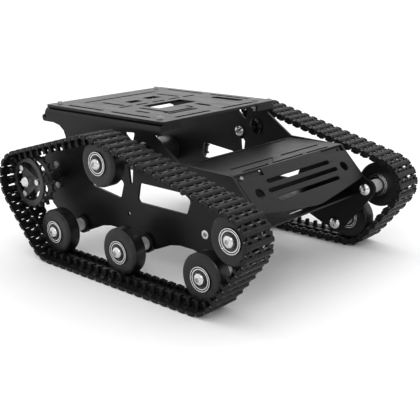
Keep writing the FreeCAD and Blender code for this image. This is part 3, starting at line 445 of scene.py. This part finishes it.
def screw_dome(head, foot, toward, rise):
    """The side of a button head, from its foot up to the flat round the socket."""
    skirt, steps, degrees = 0.35 * MM, 6, 11
    top_sine = 0.914        # of the last step's angle, where the dome comes to the full rise
    dome = [(head, foot), (head, foot + toward * skirt)]
    for step in range(1, steps + 1):
        angle = math.radians(degrees * step)
        height = skirt + (rise - skirt) * math.sin(angle) / top_sine
        dome.append((head * math.cos(angle), foot + toward * height))
    return dome


def screw_thread(shank, end, toward):
    """The threads of a screw, as points along its shank from the end."""
    threads, lead_in, pitch, depth = 8, 0.5 * MM, 0.8 * MM, 0.3 * MM
    points = []
    for step in range(threads):
        y = end + toward * (lead_in + pitch * step)
        points += [(shank, y), (shank - depth, y + toward * pitch / 2)]
    return points


def button_screws(node, side, piece_name, toward):
    """The screws on a side's five axles: a domed head with a hexagon socket, a thread at the other end."""
    low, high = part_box(node)
    head_top, end = (high.y, low.y) if toward > 0 else (low.y, high.y)
    head, rise, shank, tip, thread_stop = 4.75 * MM, 2.75 * MM, 2.45 * MM, 0.5 * MM, 7.5 * MM
    socket, socket_edge, socket_wall, socket_floor = 1.85 * MM, 0.15 * MM, 1.6 * MM, 1.9 * MM
    foot = head_top - toward * rise
    outline = [(0, end), (shank - tip, end), *screw_thread(shank, end, toward),
               (shank, end + toward * thread_stop), (shank, foot), *screw_dome(head, foot, toward, rise),
               (socket + socket_edge, head_top), (socket, head_top - toward * socket_edge),
               (socket, head_top - toward * socket_wall), (0, head_top - toward * socket_floor)]

    def hexagonal(radius, angle):
        return hex_reach(radius, angle) if radius == socket else radius

    bm = bmesh.new()
    for centre in axle_places(side):
        spun(bm, outline, centre, turns=60, closed=False, shape=hexagonal)
    settle(finish_mesh(piece_name, bm, [MATERIALS["bolt"]], sharp_degrees=28), "chassis", node)


# ---------------------------------------------------------------- sheet metal and other carried-over nodes

# The material of each carried-over node, and the width in mm of the rounding on its edges.
SINGLE_NODES = (
    ("sheet", 0.3, ("deck_plate", "bonnet_panel", "front_cross_plate")),
    ("dull_screw", 0.1, ("deck_screws", "nose_screw")),
    ("screw", 0.1, ("deck_nuts", "threaded_inserts")),
)
NODES_OF_EACH_SIDE = (
    ("sheet", 0.3, ("side_plate", "axle_washers")),
    ("screw", 0.2, ("motor_screws", "sprocket_screws")),
    ("gearbox", 0.4, ("gearbox",)),
    ("can", 0.4, ("motor_can",)),
    ("sprocket", 0.2, ("sprocket_inner_disc", "sprocket_outer_disc")),
    ("sprocket", 0.3, ("sprocket_hub",)),
    ("bolt", 0, ("drive_shaft",)),
    ("pin", 0, ("track_pins",)),
)


def soften(piece, width):
    """Small rounded edges on a CAD node, by modifiers only."""
    weld = piece.modifiers.new("weld", "WELD")
    weld.merge_threshold = 0.002 * MM
    bevel = piece.modifiers.new("edges", "BEVEL")
    bevel.width = width
    bevel.segments = 2
    bevel.limit_method = "ANGLE"
    bevel.angle_limit = math.radians(40)
    bevel.harden_normals = False
    normals = piece.modifiers.new("normals", "WEIGHTED_NORMAL")
    normals.keep_sharp = False


def dress(node, material, width):
    """Gives a CAD node its material and, where width isn't 0, rounded edges."""
    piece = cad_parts[node]
    piece.data.materials.clear()
    piece.data.materials.append(MATERIALS[material])
    if width:
        soften(piece, width)


def dress_all():
    """Dresses every CAD node that shows as it is."""
    for material, width, nodes in SINGLE_NODES:
        for node in nodes:
            dress(node, material, width * MM)
    for material, width, nodes in NODES_OF_EACH_SIDE:
        for node in nodes:
            for side in SIDES:
                dress(f"{node}_{side}", material, width * MM)


# ---------------------------------------------------------------- tracks

# One track link, in mm.  s runs along the track from the link's middle and n out to the tread, from the
# line through its two pins.  Across the track, a feature starts and stops at distances from the chassis'
# middle plane.

# the edges of the web's five bands; the second and fourth bands are the tooth rows
WEB_EDGES = (78.7, 85.2, 88.6, 93.0, 96.5, 105.9)
WEB_DEEP, WEB_TOP, WEB_REACH, ROW_REACH = -0.9, 0.2, 2.2, 3.6
RIDGE_START, SCALLOPS, SCALLOP_STEP, SCALLOP_WIDTH = 78.6, 9, 3.02, 3.14
RIDGE_SIDE = [(2.25, -0.5), (2.2, 0.3), (1.75, 1.1), (1.05, 1.62), (0.35, 1.78)]
# the hinge blocks at the link's end ahead (1) and its end behind (-1)
HINGE_BANDS = {
    1: ((78.7, 81.75), (88.8, 90.65), (96.7, 99.6), (103.0, 105.5)),
    -1: ((82.1, 85.1), (90.95, 92.8), (99.9, 102.7)),
}
HINGE_ROOT_LOW, HINGE_ROOT_HIGH = (1.6, -1.0), (2.1, 0.75)
PIN_TO_TIP = 0.9
INNER_FACE, PAD_REACH = -0.8, 3.3
SHARPEST_LEFT = math.radians(50)        # edges that turn more than this are taken off
HORN_ROOT, HORN_TIP, HORN_CHAMFER = 1.4, 1.15, 0.4


def wedge(bm, corners, low, high, edge):
    """A solid whose (s, n) outline is drawn along Y from low to high, with its edges taken off."""
    made = bmesh.new()
    ends = [[made.verts.new((s, y, n)) for s, n in corners] for y in (low, high)]
    count = len(corners)
    made.faces.new(ends[0])
    made.faces.new(list(reversed(ends[1])))
    for here in range(count):
        after = (here + 1) % count
        made.faces.new((ends[0][here], ends[1][here], ends[1][after], ends[0][after]))
    bmesh.ops.recalc_face_normals(made, faces=made.faces)
    sharp = [item for item in made.edges if item.calc_face_angle(0) > SHARPEST_LEFT]
    bmesh.ops.bevel(made, geom=sharp, offset=edge, segments=1, affect="EDGES", clamp_overlap=True)
    mesh = bpy.data.meshes.new("part")
    made.to_mesh(mesh)
    made.free()
    bm.from_mesh(mesh)
    bpy.data.meshes.remove(mesh)


def arc(centre, radius, start, stop, steps):
    """Points of an arc, in degrees, in (s, n)."""
    angles = [math.radians(start + (stop - start) * step / steps) for step in range(steps + 1)]
    return [(centre[0] + radius * math.cos(a), centre[1] + radius * math.sin(a)) for a in angles]


def mirrored(side_outline):
    """An outline from the points of its side ahead, which its side behind repeats."""
    return side_outline + [(-s, n) for s, n in reversed(side_outline)]


def hinge_outline(pitch):
    """The side view of a hinge block, rounded over the pin."""
    tip = pitch / 2 + PIN_TO_TIP
    low_round, low_middle = 0.95, -0.1
    high_round, high_middle = 0.6, 0.15
    return [HINGE_ROOT_LOW, *arc((tip - low_round, low_middle), low_round, -90, 0, steps=3),
            *arc((tip - high_round, high_middle), high_round, 0, 90, steps=2), HINGE_ROOT_HIGH]


def link_mesh(pitch, out):
    """One link about the origin, with n along Z."""
    bm = bmesh.new()

    def part(corners, inside, outside, edge):
        low, high = sorted((inside * out, outside * out))
        wedge(bm, [(s * MM, n * MM) for s, n in corners], low * MM, high * MM, edge * MM)

    def box(behind, ahead, deep, top, inside, outside, edge):
        part([(behind, deep), (ahead, deep), (ahead, top), (behind, top)], inside, outside, edge)

    # cross web under the ridge; it leaves a slit beside the pin at each of the two tooth rows
    for number, (inside, outside) in enumerate(zip(WEB_EDGES, WEB_EDGES[1:])):
        ahead = ROW_REACH if number % 2 else WEB_REACH
        box(-WEB_REACH, ahead, WEB_DEEP, WEB_TOP, inside, outside, edge=0.15)
    # fat rounded ridge across the tread, its crest cut into shallow scallops
    for number in range(SCALLOPS):
        inside = RIDGE_START + number * SCALLOP_STEP
        part(mirrored(RIDGE_SIDE), inside, inside + SCALLOP_WIDTH, edge=0.14)
    # hinge blocks, shared between the two ends of the link, lower than the ridge
    for end, bands in HINGE_BANDS.items():
        for inside, outside in bands:
            part([(s * end, n) for s, n in hinge_outline(pitch)], inside, outside, edge=0.18)
    # inner side: wheel pad and the two rails
    for inside, outside, deep, edge in ((88.7, 92.9, -2.8, 0.35), (78.6, 82.5, -3.4, 0.35),
                                        (99.7, 105.4, -1.3, 0.15)):
        box(-PAD_REACH, PAD_REACH, deep, INNER_FACE, inside, outside, edge)
    # end face of the link
    box(behind=-2.8, ahead=2.8, deep=-1.3, top=1.5, inside=104.9, outside=106.0, edge=0.22)
    # guide horns, tall in the outer row and low in the inner one
    for inside, outside, tall in ((79.5, 82.5, 4.2), (96.55, 99.65, 6.5)):
        horn = [(HORN_ROOT, INNER_FACE), (HORN_ROOT, HORN_CHAMFER - tall), (HORN_TIP, -tall)]
        part(mirrored(horn), inside, outside, edge=0.3)
    return bm


def pin_places(side):
    """The (x, z) of each hinge pin of a side, in order round the loop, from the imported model."""
    decimals, pin_size = 5, 2 * MM
    points = [vertex.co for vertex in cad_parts[f"track_pins_{side}"].data.vertices]
    clusters = []
    for x, z in sorted({(round(point.x, decimals), round(point.z, decimals)) for point in points}):
        for group in clusters:
            if math.hypot(group[0][0] - x, group[0][1] - z) < pin_size:
                group.append((x, z))
                break
        else:
            clusters.append([(x, z)])
    pins = []
    for group in clusters:
        xs, zs = zip(*group)
        pins.append(Vector(((min(xs) + max(xs)) / 2, (min(zs) + max(zs)) / 2)))
    middle = sum(pins, Vector((0, 0))) / len(pins)
    return sorted(pins, key=lambda pin: math.atan2(pin.y - middle.y, pin.x - middle.x))


def link_places(side):
    """The middle, direction and pitch of each link, which runs from one hinge pin to the next."""
    pins = pin_places(side)
    places = []
    for pin, after in zip(pins, pins[1:] + pins[:1]):
        direction = math.atan2(after.y - pin.y, after.x - pin.x)
        places.append(((pin + after) / 2, direction, (after - pin).length))
    return places


def track(side):
    """All the links of one track, as one piece."""
    places = link_places(side)
    pitch = sum(length for _, _, length in places) / len(places) / MM
    master = link_mesh(pitch, SIDES[side])
    mesh = bpy.data.meshes.new("link")
    master.to_mesh(mesh)
    master.free()
    bm = bmesh.new()
    for middle, angle, _ in places:
        first = len(bm.verts)
        bm.from_mesh(mesh)
        bm.verts.ensure_lookup_table()
        # outward is to the right of travel, so the link's Z axis is turned over
        turn = Matrix(((math.cos(angle), 0, math.sin(angle), middle.x), (0, 1, 0, 0),
                       (math.sin(angle), 0, -math.cos(angle), middle.y), (0, 0, 0, 1)))
        bmesh.ops.transform(bm, matrix=turn, verts=bm.verts[first:])
    bpy.data.meshes.remove(mesh)
    piece = finish_mesh(f"track_{side}", bm, [MATERIALS["track"]], sharp_degrees=32)
    settle(piece, "chassis", f"track_links_{side}")


# ---------------------------------------------------------------- stage, light and camera

def floor():
    """A wide floor, so that its edge stays far from the object."""
    bm = bmesh.new()
    bmesh.ops.create_grid(bm, x_segments=8, y_segments=8, size=30.0)
    finish_mesh("floor", bm, [floor_paint()])


def sky():
    """A white surround that grows brighter towards -X, +Y and +Z."""
    bright_side = Vector((-0.4, 0.45, 0.8)).normalized()
    world = bpy.data.worlds.new("studio")
    bpy.context.scene.world = world
    world.use_nodes = True
    tree = world.node_tree
    background = tree.nodes["Background"]
    background.inputs["Color"].default_value = (1, 1, 1, 1)
    place = tree.nodes.new("ShaderNodeTexCoord")
    toward = tree.nodes.new("ShaderNodeVectorMath")
    toward.operation = "DOT_PRODUCT"
    toward.inputs[1].default_value = bright_side
    glow = tree.nodes.new("ShaderNodeMapRange")
    for name, number in (("From Min", -0.3), ("From Max", 1.0), ("To Min", 1.0), ("To Max", 1.55)):
        glow.inputs[name].default_value = number
    tree.links.new(place.outputs["Generated"], toward.inputs[0])
    tree.links.new(toward.outputs["Value"], glow.inputs["Value"])
    tree.links.new(glow.outputs["Result"], background.inputs["Strength"])


def key_light():
    """A small square lamp, high up on the camera's side of the object."""
    place, aim, size, power = Vector((0.55, -0.75, 0.75)), Vector((0, 0, 0.05)), 0.25, 1.5
    lamp = bpy.data.lights.new("key", "AREA")
    lamp.shape = "RECTANGLE"
    lamp.size, lamp.size_y = size, size
    lamp.energy = power
    item = bpy.data.objects.new("key", lamp)
    item.location = place
    item.rotation_euler = (aim - place).to_track_quat("-Z", "Y").to_euler()
    bpy.context.scene.collection.objects.link(item)


def camera():
    """The photograph's view: azimuth from -Y towards +X, elevation and a slight roll."""
    azimuth, elevation, roll = (math.radians(angle) for angle in (42.31, 16.68, -0.87))
    aim, distance = Vector((0.0015, 0.0026, 0.0328)), 0.63
    back = Vector((math.sin(azimuth) * math.cos(elevation), -math.cos(azimuth) * math.cos(elevation),
                   math.sin(elevation)))
    lens = bpy.data.cameras.new("camera")
    lens.lens, lens.sensor_width = 66.77, 36.0
    lens.clip_start = 0.01
    item = bpy.data.objects.new("camera", lens)
    toward = back.to_track_quat("Z", "Y").to_matrix().to_4x4()
    item.matrix_world = Matrix.Translation(aim + back * distance) @ toward @ Matrix.Rotation(roll, 4, "Z")
    bpy.context.scene.collection.objects.link(item)
    bpy.context.scene.camera = item


bpy.context.scene.view_settings.view_transform = "Standard"
camera()
sky()
key_light()
floor()
dress_all()
for side, outward in SIDES.items():
    for name in WHEELS:
        wheel(name, side)
        bearing(name, side)
    inner_rings(side)
    button_screws(f"axle_bolts_{side}", side, f"inner_bolts_{side}", -outward)
    button_screws(f"wheel_screws_{side}", side, f"hub_screws_{side}", outward)
    spacers(side)
    track(side)
